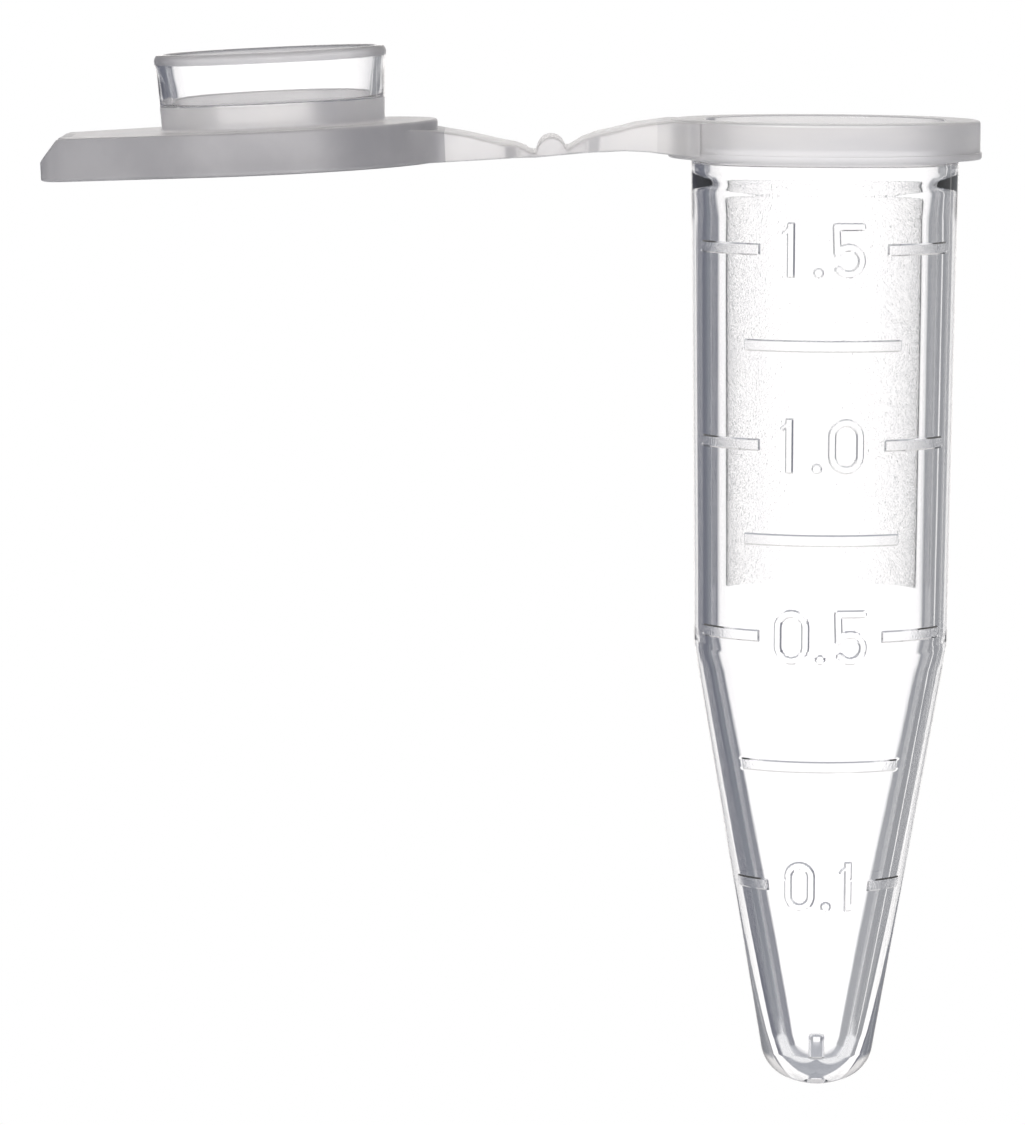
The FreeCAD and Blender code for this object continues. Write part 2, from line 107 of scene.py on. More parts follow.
# Tube, inside
MOUTH_RADIUS = 4.86
MOUTH_EDGE = 0.1
THROAT_TOP = -0.5               # from here down to THROAT_BOTTOM the mouth narrows to the plug's seat
THROAT_BOTTOM = -1.35
THROAT_RADIUS = 4.71
BORE_TOP_RADIUS = 4.62
BORE_TOP = -2.6
CONE_TOP_BORE = 4.45
TIP_WALL = 0.95                 # thickness of the wall where the cone meets the tip
FLOOR_HEIGHT = 0.82             # of the dished floor's middle, above the tip's end
FLOOR_EDGE_HEIGHT = 1.5         # where the dished floor meets the bore
NUB_RADIUS = 0.34
NUB_HEIGHT = 1.3
NUB_FOOT = 0.06                 # width of the small flare at the nub's foot
INNER_COLUMNS = 144

# Raised marks
MARK_RISE = 0.06
MARKS_TURN = math.radians(-2.4)  # turn of the marks and the panel about the axis, off square to the hinge
MARK_EDGE = 0.06                # width of a mark's sloping edge
CREST_SHARE = 0.6               # a face proud of the wall by this share of a rise is on the crest
BAR_HEIGHT = 0.42
STROKE = 0.27
# z of the middle of each mark with a numeral and of each mark without
FULL_MARKS = {"1.5": -3.46, "1.0": -11.24, "0.5": -18.88, "0.1": -29.1}
HALF_MARKS = {"1.25": -7.27, "0.75": -15.01, "0.25": -24.17}
# Ends of the bars, in degrees from the middle of the numerals
FULL_BAR_START = 28.5
FULL_BAR_START_AT_TIP = 35.0
FULL_BAR_END = 66.0
HALF_BAR_END = 36.0
HALF_BAR_END_ON_CONE = 45.0
DIGIT_HEIGHT = 2.15
DIGIT_WIDTH = 1.4
SMALL_DIGIT_HEIGHT = 2.0
SMALL_DIGIT_WIDTH = 1.2
ONE_WIDTH = 0.48
DOT_WIDTH = 1.35 * STROKE
ONE_SPACE = (0.24, 0.66)        # empty space before and after a 1, which is as wide as other digits
SIGN_SPACE = (0.14, 0.14)
FAR = 9.0                       # a distance beyond any mark's reach

# Frosted writing panel on the back
PANEL_HALF_ANGLE = math.radians(59.0)
PANEL_TOP = -1.9
PANEL_BOTTOM = -17.6
PANEL_RISE = 0.03

# Lid, in its own plane: u towards the hinge, n away from the sealing face on the plug's side
LID_FOLD_U = 9.8
LID_FOLD_N = -1.38
LID_DROOP = math.radians(3.0)
LID_RADIUS = 6.6
LID_THICKNESS = 1.72
LID_TOP_EDGE = 0.12             # rounding of the lid's edge on the plug's side
LID_UNDER_EDGE = 0.2            # and on its outer face
RECESS_RADIUS = 4.7
RECESS_DEPTH = 0.12
PLUG_HEIGHT = 3.06
PLUG_BASE_RADIUS = 4.485
PLUG_TOP_RADIUS = 4.6
PLUG_LIP_RADIUS = 4.67
PLUG_FLOOR_HEIGHT = 1.0
PLUG_BORE_BASE = 4.06
PLUG_BORE_TOP = 4.26
LID_COLUMNS = 288
TAB_REACH = 9.3
TAB_HALF_WIDTH = 3.9
TAB_CORNER_RADIUS = 1.6
TAB_CHAMFER_REACH = 0.8         # the tab's end is chamfered over this reach, by this drop
TAB_CHAMFER_DROP = 0.93

# Hinge, seen from the side, by distance from the tube's axis and height: the part that belongs to
# the tube. Its last stretch is the link, which carries a round bead.
STRAP_TOP = [(5.1, 1.5), (6.3, 1.5), (7.6, 1.32), (8.55, 1.07), (9.2, 0.93), (9.75, 0.74),
             (10.1, 0.52), (10.28, 0.42), (10.4, 0.41), (11.7, 0.23)]
STRAP_BOTTOM = [(5.1, 0.12), (6.3, 0.2), (7.2, 0.3), (8.07, 0.34), (9.2, 0.28), (10.4, 0.165),
                (11.7, 0.04)]
BEAD_REACH = 11.0
BEAD_HEIGHT = 0.28
BEAD_RADIUS = 0.57
# and the part that belongs to the lid, by u and n
LID_STRAP_TOP = [(5.2, -0.25), (6.6, -0.42), (7.8, -0.68), (9.2, -1.07), (9.73, -1.17), (10.1, -1.33),
                 (10.25, -1.45), (10.4, -1.475)]
LID_STRAP_BOTTOM = [(5.2, -1.68), (7.75, -1.66), (9.2, -1.64), (10.4, -1.665)]
# Half widths of both straps, and the fillet with which they run into their rings
STRAP_HALF_WIDTH = 3.1
WEB_HALF_WIDTH = 2.6
STRAP_FILLET = 2.0
STRAP_EDGE = 0.1
TUBE_NECK = (9.0, 9.65)         # where the tube's strap narrows to the web's width, from the tube's axis
LID_NECK = (9.17, 9.8)          # the same for the lid's strap, from the lid's axis

# Light round the object, as shares of SKY_STRENGTH
SKY_STRENGTH = 1.25
SCREEN = (1.0, 0.985, 0.975)
PALE = (0.72, 0.72, 0.73)
CEILING = (0.60, 0.585, 0.575)
GAP = (0.36, 0.37, 0.40)
LEFT_GAP = (0.18, 0.19, 0.215)
LEFT_SHADE = (0.125, 0.13, 0.16)
RIGHT_GAP = (0.26, 0.265, 0.28)
TABLE = (0.30, 0.31, 0.34)
# Elevations in degrees between which the light turns into the ceiling's, and into the table's
CEILING_EDGE = (12, 18)
TABLE_EDGE = (-20, -26)

# Plastic
POLYPROPYLENE_IOR = 1.49
CLOUD_SCALE = 420.0             # per metre
FLOW_SCALE = 2500.0             # per metre round the tube
FLOW_STRETCH = (1.0, 1.0, 0.03)  # draws the flow lines out along the tube


# ------------------------------------------------------------------ mesh helpers

def new_piece(name, vertices, faces):
    """Mesh object from vertices in millimetres."""
    mesh = bpy.data.meshes.new(name)
    scaled = np.asarray(vertices, float) * MM
    mesh.from_pydata(scaled.tolist(), [], faces)
    mesh.validate()
    piece = bpy.data.objects.new(name, mesh)
    bpy.context.scene.collection.objects.link(piece)
    return piece


def face_outwards(piece):
    """Make every face point away from the solid."""
    work = bmesh.new()
    work.from_mesh(piece.data)
    bmesh.ops.recalc_face_normals(work, faces=work.faces)
    work.to_mesh(piece.data)
    work.free()


def shade(piece, angle=32.0):
    """Smooth shading, with a hard edge where two faces meet at more than the angle."""
    limit = math.radians(angle)
    work = bmesh.new()
    work.from_mesh(piece.data)
    for face in work.faces:
        face.smooth = True
    for edge in work.edges:
        edge.smooth = len(edge.link_faces) == 2 and edge.calc_face_angle(0.0) < limit
    work.to_mesh(piece.data)
    work.free()


def paint(piece, materials, finish):
    """Give every face the material that finish picks for its centre in millimetres."""
    piece.data.materials.clear()
    for material in materials:
        piece.data.materials.append(material)
    for face in piece.data.polygons:
        face.material_index = finish(*(face.center / MM))


def join_solid(piece, other):
    """Boolean union: other becomes part of piece."""
    union = piece.modifiers.new("union", "BOOLEAN")
    union.operation = "UNION"
    union.solver = "EXACT"
    union.object = other
    bpy.context.view_layer.update()
    graph = bpy.context.evaluated_depsgraph_get()
    joined = bpy.data.meshes.new_from_object(piece.evaluated_get(graph))
    piece.modifiers.clear()
    piece.data = joined
    bpy.data.objects.remove(other)


def arc(centre, radius, first, last, steps):
    """Points on an arc in a (radius, height) plane. Angles are in radians from outwards to up."""
    angles = np.linspace(first, last, steps + 1)
    return [(centre[0] + radius * math.cos(a), centre[1] + radius * math.sin(a)) for a in angles]


def line(start, end, step):
    """Points from start to just before end, about step apart."""
    count = max(1, round(math.dist(start, end) / step))
    shares = np.linspace(0, 1, count + 1)[:-1]
    return [(start[0] + s * (end[0] - start[0]), start[1] + s * (end[1] - start[1])) for s in shares]


def ring_faces(first, second):
    """Faces between two rings of vertex numbers with the same count."""
    count = len(first)
    return [(first[i], first[(i + 1) % count], second[(i + 1) % count], second[i]) for i in range(count)]


def zip_rings(first, first_angles, second, second_angles):
    """Triangles between two rings with different counts, both in order of azimuth from the same start."""
    faces = []
    i = j = 0
    while i < len(first) or j < len(second):
        next_first = first_angles[i + 1] if i + 1 < len(first) else first_angles[0] + 2 * math.pi
        next_second = second_angles[j + 1] if j + 1 < len(second) else second_angles[0] + 2 * math.pi
        here_first = first[i % len(first)]
        here_second = second[j % len(second)]
        if j >= len(second) or (i < len(first) and next_first <= next_second):
            i += 1
            faces.append((here_first, first[i % len(first)], here_second))
        else:
            j += 1
            faces.append((here_first, second[j % len(second)], here_second))
    return faces


def fan(ring, pole):
    return [(ring[i], ring[(i + 1) % len(ring)], pole) for i in range(len(ring))]


# ------------------------------------------------------------------ raised marks

def distance_to_segment(u, w, start, end):
    """Distance to a straight stroke's middle line."""
    along = np.array([end[0] - start[0], end[1] - start[1]])
    share = ((u - start[0]) * along[0] + (w - start[1]) * along[1]) / (along @ along)
    share = np.clip(share, 0, 1)
    return np.hypot(u - start[0] - share * along[0], w - start[1] - share * along[1])


def distance_to_box(u, w, centre, half_width, half_height):
    """Signed distance to an upright rectangle."""
    over_u = np.abs(u - centre[0]) - half_width
    over_w = np.abs(w - centre[1]) - half_height
    outside = np.hypot(np.maximum(over_u, 0), np.maximum(over_w, 0))
    return outside + np.minimum(np.maximum(over_u, over_w), 0)


def zero(u, w, width, height):
    """Signed distance to a nought centred on the origin: a loop with round ends."""
    radius = (width - STROKE) / 2
    straight = height / 2 - STROKE / 2 - radius
    loop = np.hypot(u, np.maximum(np.abs(w) - straight, 0)) - radius
    return np.abs(loop) - STROKE / 2


def one(u, w, width, height):
    """Signed distance to a 1: a stem on the right of its width and a short, thinner flag."""
    half = STROKE / 2
    stem_u = width / 2 - half
    stem = distance_to_box(u, w, (stem_u, 0), half, height / 2)
    flag_low = (-width / 2 + 0.4 * half, height / 2 - 3.0 * half)
    flag = distance_to_segment(u, w, (stem_u, height / 2 - half), flag_low) - 0.5 * half
    return np.minimum(stem, flag)


def five(u, w, width, height):
    """Signed distance to a 5: an open bowl, a stem from its upper end and a straight top."""
    half = STROKE / 2
    corner = (-width / 2 + half + 0.1, height / 2 - half)
    bowl_radius = height * 0.31 - half
    bowl_w = -height / 2 + half + bowl_radius
    bowl_u = width / 2 - half - bowl_radius
    angle = np.arctan2(w - bowl_w, u - bowl_u)
    ring = np.abs(np.hypot(u - bowl_u, w - bowl_w) - bowl_radius)
    open_end = math.radians(150)
    tail_angle = math.radians(-140)
    tail = (bowl_u + bowl_radius * math.cos(tail_angle), bowl_w + bowl_radius * math.sin(tail_angle))
    head = (bowl_u + bowl_radius * math.cos(open_end), bowl_w + bowl_radius * math.sin(open_end))
    on_arc = (angle > tail_angle) & (angle < open_end)
    to_ends = np.minimum(np.hypot(u - tail[0], w - tail[1]), np.hypot(u - head[0], w - head[1]))
    bowl = np.where(on_arc, ring, to_ends)
    strokes = np.minimum(bowl, distance_to_segment(u, w, corner, (width / 2 - half, corner[1])))
    strokes = np.minimum(strokes, distance_to_segment(u, w, corner, head))
    return strokes - half


def dot(u, w, width, height):
    """Signed distance to a round point on the base line."""
    return np.hypot(u, w + height / 2 - width / 2) - width / 2


SIGNS = {"0": zero, "1": one, "5": five, ".": dot}


def numeral_distance(label, u, w):
    """Signed distance to a numeral whose visible signs are centred on u = 0, w = 0."""
    small = label == "0.1"
    height = SMALL_DIGIT_HEIGHT if small else DIGIT_HEIGHT
    wide = SMALL_DIGIT_WIDTH if small else DIGIT_WIDTH
    widths = {"0": wide, "5": wide, "1": ONE_WIDTH, ".": DOT_WIDTH}
    centres = []
    end = 0.0
    for place, sign in enumerate(label):
        before, after = ONE_SPACE if sign == "1" else SIGN_SPACE
        end += before if place > 0 else 0.0
        centres.append(end + widths[sign] / 2)
        end += widths[sign]
        total = end
        end += after
    nearest = np.full(np.shape(u), FAR)
    for sign, centre in zip(label, centres):
        nearest = np.minimum(nearest, SIGNS[sign](u - centre + total / 2, w, widths[sign], height))
    return nearest


def bar_distance(u, w, radius, first, last):
    """Signed distance to a bar between two azimuths in degrees, on each side of the front."""
    middle = math.radians((first + last) / 2) * radius
    half = math.radians((last - first) / 2) * radius
    return distance_to_box(np.abs(u), w, (middle, 0), half, BAR_HEIGHT / 2)


def mark_distance(u, w, radius):
    """Signed distance to the nearest mark, from arc lengths u round the wall and heights w."""
    nearest = np.full(np.shape(u), FAR)
    for label, height in FULL_MARKS.items():
        start = FULL_BAR_START_AT_TIP if label == "0.1" else FULL_BAR_START
        nearest = np.minimum(nearest, numeral_distance(label, u, w - height))
        nearest = np.minimum(nearest, bar_distance(u, w - height, radius, start, FULL_BAR_END))
    for label, height in HALF_MARKS.items():
        end = HALF_BAR_END_ON_CONE if label == "0.25" else HALF_BAR_END
        nearest = np.minimum(nearest, bar_distance(u, w - height, radius, -end, end))
    back_u = math.pi * radius - np.abs(u)
    panel_middle = (PANEL_TOP + PANEL_BOTTOM) / 2
    panel_half = (PANEL_TOP - PANEL_BOTTOM) / 2
    panel = distance_to_box(back_u, w, (0, panel_middle), PANEL_HALF_ANGLE * radius, panel_half)
    return np.minimum(nearest, panel)


def fit_to_marks(azimuth, z, radius):
    """Move the grid points beside a mark's outline on to the foot or the crest of its sloping edge.

    All are grids of the same shape. Gives the new azimuths, the new heights and what each point is
    raised by, so that every outline is a clean narrow step and not a staircase.
    """
    u = azimuth * radius
    step = 1e-3
    here = mark_distance(u, z, radius)
    slope_u = (mark_distance(u + step, z, radius) - mark_distance(u - step, z, radius)) / (2 * step)
    slope_w = (mark_distance(u, z + step, radius) - mark_distance(u, z - step, radius)) / (2 * step)
    cell_u = np.abs(np.gradient(u, axis=1))
    cell_w = np.abs(np.gradient(z, axis=0))
    reach = np.maximum(np.abs(slope_u) * cell_u, np.abs(slope_w) * cell_w)
    target = np.where(here > 0, MARK_EDGE / 2, -MARK_EDGE / 2)
    move = np.where(np.abs(here) < reach, target - here, 0.0)
    rise = np.where(np.abs(azimuth) > math.pi / 2, PANEL_RISE, MARK_RISE)
    raised = np.where(here < 0, rise, 0.0)
    return (u + move * slope_u) / radius, z + move * slope_w, raised


# ------------------------------------------------------------------ tube

def outer_radius(z):
    """Outer radius of the wall between the collar and the tip, at one height or many."""
    flare = (RACK_RADIUS - RIM_RADIUS) * np.exp(np.minimum(z, 0.0) / FLARE_HEIGHT)
    return np.interp(z, WALL_HEIGHTS, WALL_RADII) + flare


def tip_outline():
    """Bottom dome and corner arc, from the pole up to where the cone starts."""
    dome = (0.0, TIP_BOTTOM + TIP_DOME_RADIUS)
    lean = math.hypot(1.0, CONE_SLOPE)
    reach = outer_radius(dome[1]) - TIP_CORNER_RADIUS * lean
    gap = TIP_DOME_RADIUS - TIP_CORNER_RADIUS
    half_b = CONE_SLOPE * reach
    drop = (half_b + math.sqrt(half_b ** 2 - lean ** 2 * (reach ** 2 - gap ** 2))) / lean ** 2
    corner = (reach - CONE_SLOPE * drop, dome[1] - drop)
    meet = -math.atan2(drop, corner[0])
    cone = -math.atan(CONE_SLOPE)
    outline = arc(dome, TIP_DOME_RADIUS, -math.pi / 2, meet, 14)[1:]
    return outline + arc(corner, TIP_CORNER_RADIUS, meet, cone, 14)[1:]


def wall_heights(bottom):
    """Heights of the rows of the outer wall, close together where a mark or a change of slope is."""
    zones = [(z, DIGIT_HEIGHT / 2 + ROW_MARGIN) for z in FULL_MARKS.values()]
    zones += [(z, BAR_HEIGHT / 2 + ROW_MARGIN) for z in HALF_MARKS.values()]
    zones += [(CONE_TOP, 0.15), (RACK_BOTTOM, ROW_MARGIN), (BARREL_TOP, ROW_MARGIN)]
    heights = [bottom]
    top = -ROOT_FILLET
    while heights[-1] < top - ROW_FINE:
        here = heights[-1]
        near = min(abs(here + ROW_FINE / 2 - z) - half for z, half in zones)
        heights.append(here + min(ROW_COARSE, max(ROW_FINE, near * ROW_GROWTH)))
    heights[-1] = top
    return heights


def outer_columns():
    """Azimuths of the outer columns from the middle of the numerals, in radians, and closest there."""
    numerals = np.arange(0.0, 21.6, 0.62)
    bars = np.arange(22.0, 72.0, 1.35)
    back = np.linspace(72.5, 180.0, 36)
    half = np.concatenate([numerals, bars, back])
    return np.radians(np.concatenate([-half[1:-1][::-1], half]))


def outer_outline():
    """Outside of the tube as (radius, z), from beside the bottom pole up to the top of the collar."""
    start = tip_outline()
    outline = start[:-1]
    outline += [(float(outer_radius(z)), z) for z in wall_heights(start[-1][1])]
    root = (RACK_RADIUS + ROOT_FILLET, -ROOT_FILLET)
    outline += arc(root, ROOT_FILLET, math.pi, math.pi / 2, 4)[1:]
    lip_edge = COLLAR_RADIUS - COLLAR_EDGE / 2
    band = COLLAR_RADIUS - COLLAR_STEP
    outline += line((root[0] + 0.1, 0.0), (lip_edge, 0.0), 0.2)
    outline += arc((lip_edge, COLLAR_EDGE / 2), COLLAR_EDGE / 2, -math.pi / 2, 0.0, 4)
    outline += [(COLLAR_RADIUS, COLLAR_LIP - 0.04), (COLLAR_RADIUS - 0.01, COLLAR_LIP),
                (band + 0.01, COLLAR_LIP + 0.01)]
    outline += line((band, COLLAR_LIP + 0.03), (band, COLLAR_TOP - COLLAR_EDGE), 0.25)
    outline += arc((band - COLLAR_EDGE, COLLAR_TOP - COLLAR_EDGE), COLLAR_EDGE, 0.0, math.pi / 2, 5)
    return outline


def inner_outline():
    """Mouth and bore as (radius, z), from the top of the collar down to beside the nub's top."""
    outline = arc((MOUTH_RADIUS + MOUTH_EDGE, COLLAR_TOP - MOUTH_EDGE), MOUTH_EDGE, math.pi / 2, math.pi, 4)
    outline += line((MOUTH_RADIUS, COLLAR_TOP - 0.3), (MOUTH_RADIUS, THROAT_TOP), 0.4)
    for share in np.linspace(0.1, 1.0, 10):
        step = (MOUTH_RADIUS - THROAT_RADIUS) * share * share * (3 - 2 * share)
        outline.append((MOUTH_RADIUS - step, THROAT_TOP + (THROAT_BOTTOM - THROAT_TOP) * share))
    outline += line((THROAT_RADIUS, THROAT_BOTTOM), (BORE_TOP_RADIUS, BORE_TOP), 0.3)
    outline += line((BORE_TOP_RADIUS, BORE_TOP), (CONE_TOP_BORE, CONE_TOP), 0.8)
    tip_bore = TIP_TOP_RADIUS - TIP_WALL
    slope = (CONE_TOP_BORE - tip_bore) / (CONE_TOP - TIP_TOP)
    floor_z = TIP_BOTTOM + FLOOR_HEIGHT
    edge_z = TIP_BOTTOM + FLOOR_EDGE_HEIGHT
    edge_radius = tip_bore - slope * (TIP_TOP - edge_z)
    depth = edge_z - floor_z
    dish_radius = (edge_radius ** 2 + depth ** 2) / (2 * depth)
    edge_angle = -math.acos(edge_radius / dish_radius)
    nub_angle = -math.acos((NUB_RADIUS + NUB_FOOT) / dish_radius)
    outline += line((CONE_TOP_BORE, CONE_TOP), (edge_radius, edge_z), 0.8)
    outline += arc((0.0, floor_z + dish_radius), dish_radius, edge_angle, nub_angle, 12)[1:]
    nub_top = floor_z + NUB_HEIGHT
    nub_edge = NUB_RADIUS * 0.4
    outline += [(NUB_RADIUS + 0.015, floor_z + 0.04), (NUB_RADIUS, floor_z + 0.09)]
    outline += arc((NUB_RADIUS * 0.55, nub_top - nub_edge), nub_edge, 0.0, math.pi / 2, 4)
    return outline


def round_axis(radius, azimuth, z):
    """Points at azimuths measured from the middle of the numerals."""
    turned = azimuth + MARKS_TURN
    return np.stack([radius * np.sin(turned), -radius * np.cos(turned), z], axis=-1)


def tube_skin():
    """Closed skin of the tube, with its marks raised and its writing panel on the back."""
    outside = np.array(outer_outline())
    columns = outer_columns()
    azimuth = np.tile(columns, (len(outside), 1))
    z = np.tile(outside[:, 1:], (1, len(columns)))
    radius = np.tile(outside[:, :1], (1, len(columns)))
    wall = np.flatnonzero((outside[:, 1] > TIP_TOP) & (outside[:, 1] < -2 * ROOT_FILLET)
                          & (outside[:, 0] < RACK_RADIUS + 0.01))
    azimuth[wall], z[wall], raised = fit_to_marks(azimuth[wall], z[wall], radius[wall])
    radius[wall] = outer_radius(z[wall]) + raised
    outer = round_axis(radius, azimuth, z)

    inside = np.array(inner_outline())
    inner_columns = columns[0] + np.linspace(0, 2 * math.pi, INNER_COLUMNS, endpoint=False)
    inner = round_axis(inside[:, :1], inner_columns, inside[:, 1:] + 0 * inner_columns)

    vertices = np.concatenate([outer.reshape(-1, 3), inner.reshape(-1, 3),
                               [(0, 0, TIP_BOTTOM), (0, 0, inside[-1, 1])]])
    outer_rings = np.arange(azimuth.size).reshape(azimuth.shape).tolist()
    inner_rings = (azimuth.size + np.arange(inner[..., 0].size)).reshape(inner.shape[:2]).tolist()
    bottom_pole, nub_pole = len(vertices) - 2, len(vertices) - 1
    faces = fan(outer_rings[0], bottom_pole)
    for first, second in zip(outer_rings, outer_rings[1:]):
        faces += ring_faces(first, second)
    faces += zip_rings(outer_rings[-1], columns, inner_rings[0], inner_columns)
    for first, second in zip(inner_rings, inner_rings[1:]):
        faces += ring_faces(first, second)
    faces += fan(inner_rings[-1], nub_pole)
    skin = new_piece("tube_shell", vertices, faces)
    face_outwards(skin)
    return skin


def tube_finish(x, y, z):
    """Which of the tube's materials a face with this centre, in millimetres, is made of."""
    radius = math.hypot(x, y)
    on_strap = x < -(COLLAR_RADIUS + 0.5)
    on_collar = radius > RACK_RADIUS + 0.15
    beside_collar = z > RIM_MILK_BOTTOM and radius > MOUTH_RADIUS + 0.02
    if on_strap:
        return STRAP
    if on_collar or beside_collar:
        return RIM
    proud = radius - outer_radius(z)
    if proud > CREST_SHARE * MARK_RISE and y < 0:
        return MARKS
    if proud > CREST_SHARE * PANEL_RISE and y > 0:
        return FROSTED
    return CLEAR


# ------------------------------------------------------------------ hinge

def rounded_section(half_width, low, high, edge):
    """Outline of a strap's cross-section, as (y, z) points with corners as round as its height allows."""
    edge = min(edge, (high - low) * 0.45)
    corners = [(half_width - edge, high - edge, 0.0), (-half_width + edge, high - edge, math.pi / 2),
               (-half_width + edge, low + edge, math.pi), (half_width - edge, low + edge, 1.5 * math.pi)]
    points = []
    for centre_y, centre_z, start in corners:
        points += arc((centre_y, centre_z), edge, start, start + math.pi / 2, 4)
    return points


def loft(name, stations):
    """Closed solid through sections of (x, y, z) points with the same count."""
    vertices = []
    rings = []
    for section in stations:
        start = len(vertices)
        vertices += section
        rings.append(list(range(start, len(vertices))))
    faces = []
    for first, second in zip(rings, rings[1:]):
        faces += ring_faces(first, second)
    faces.append(tuple(reversed(rings[0])))
    faces.append(tuple(rings[-1]))
    solid = new_piece(name, vertices, faces)
    face_outwards(solid)
    return solid


def strap_half_width(reach, ring_radius, neck):
    """Half width of a strap at a reach from its ring's axis: a fillet at the ring, a neck at the web."""
    fillet_y = STRAP_HALF_WIDTH + STRAP_FILLET
    fillet_x = math.sqrt((ring_radius + STRAP_FILLET) ** 2 - fillet_y ** 2)
    if reach < fillet_x * ring_radius / (ring_radius + STRAP_FILLET):
        return math.sqrt((ring_radius - 0.05) ** 2 - reach ** 2)
    if reach < fillet_x:
        return fillet_y - math.sqrt(STRAP_FILLET ** 2 - (fillet_x - reach) ** 2)
    share = min(max((reach - neck[0]) / (neck[1] - neck[0]), 0.0), 1.0)
    return STRAP_HALF_WIDTH + (WEB_HALF_WIDTH - STRAP_HALF_WIDTH) * share * share * (3 - 2 * share)


def strap_sections(top, bottom, ring_radius, neck, step, beaded=False):
    """Cross-sections of a strap whose side outlines are given by distance from its ring's axis."""
    top_reach, top_height = zip(*top)
    bottom_reach, bottom_height = zip(*bottom)
    count = round((top_reach[-1] - top_reach[0]) / step)
    sections = []
    for reach in np.linspace(top_reach[0], top_reach[-1], count + 1):
        high = float(np.interp(reach, top_reach, top_height))
        low = float(np.interp(reach, bottom_reach, bottom_height))
        offset = abs(reach - BEAD_REACH)
        if beaded and offset < BEAD_RADIUS:
            high = max(high, BEAD_HEIGHT + math.sqrt(BEAD_RADIUS ** 2 - offset ** 2))
        width = strap_half_width(reach, ring_radius, neck)
        sections.append((reach, rounded_section(width, low, high, STRAP_EDGE)))
    return sections


def tube_hinge():
    """Strap, thin fold and beaded link on the tube's side, as one solid rooted in the collar."""
    sections = strap_sections(STRAP_TOP, STRAP_BOTTOM, COLLAR_RADIUS, TUBE_NECK, 0.05, beaded=True)
    return loft("tube_hinge", [[(-reach, y, z) for y, z in section] for reach, section in sections])


# ------------------------------------------------------------------ lid

def lid_matrix():
    """From the lid's own (u, y, n) millimetres to the open lid's place."""
    along = Vector((math.cos(LID_DROOP), 0, math.sin(LID_DROOP)))
    off = Vector((-math.sin(LID_DROOP), 0, math.cos(LID_DROOP)))
    centre = LID_FOLD - along * LID_FOLD_U - off * LID_FOLD_N
    matrix = Matrix.Identity(4)
    for row in range(3):
        matrix[row][0] = along[row]
        matrix[row][1] = (0, 1, 0)[row]
        matrix[row][2] = off[row]
        matrix[row][3] = centre[row] * MM
    return matrix


def lid_plan(angles):
    """Radius of the lid's plan by angle from the hinge: a disc with straight flanks to the tab's corners."""
    corner_u = TAB_REACH - TAB_CORNER_RADIUS
    corner_y = TAB_HALF_WIDTH - TAB_CORNER_RADIUS
    spread = math.acos((LID_RADIUS - TAB_CORNER_RADIUS) / math.hypot(corner_u, corner_y))
    touch = math.pi - math.atan2(corner_y, corner_u) - spread
    disc = arc((0.0, 0.0), LID_RADIUS, 0.0, touch, 60)
    corner = arc((-corner_u, corner_y), TAB_CORNER_RADIUS, touch, math.pi, 24)
    flank = line(disc[-1], corner[0], 0.3)
    nose = line(corner[-1], (-TAB_REACH, 0.0), 0.3)
    outline = np.array(disc + flank[1:] + corner + nose[1:] + [(-TAB_REACH, 0.0)])
    known_angles = np.arctan2(outline[:, 1], outline[:, 0])
    known_radii = np.hypot(outline[:, 0], outline[:, 1])
    return np.interp(np.abs(angles), known_angles, known_radii)


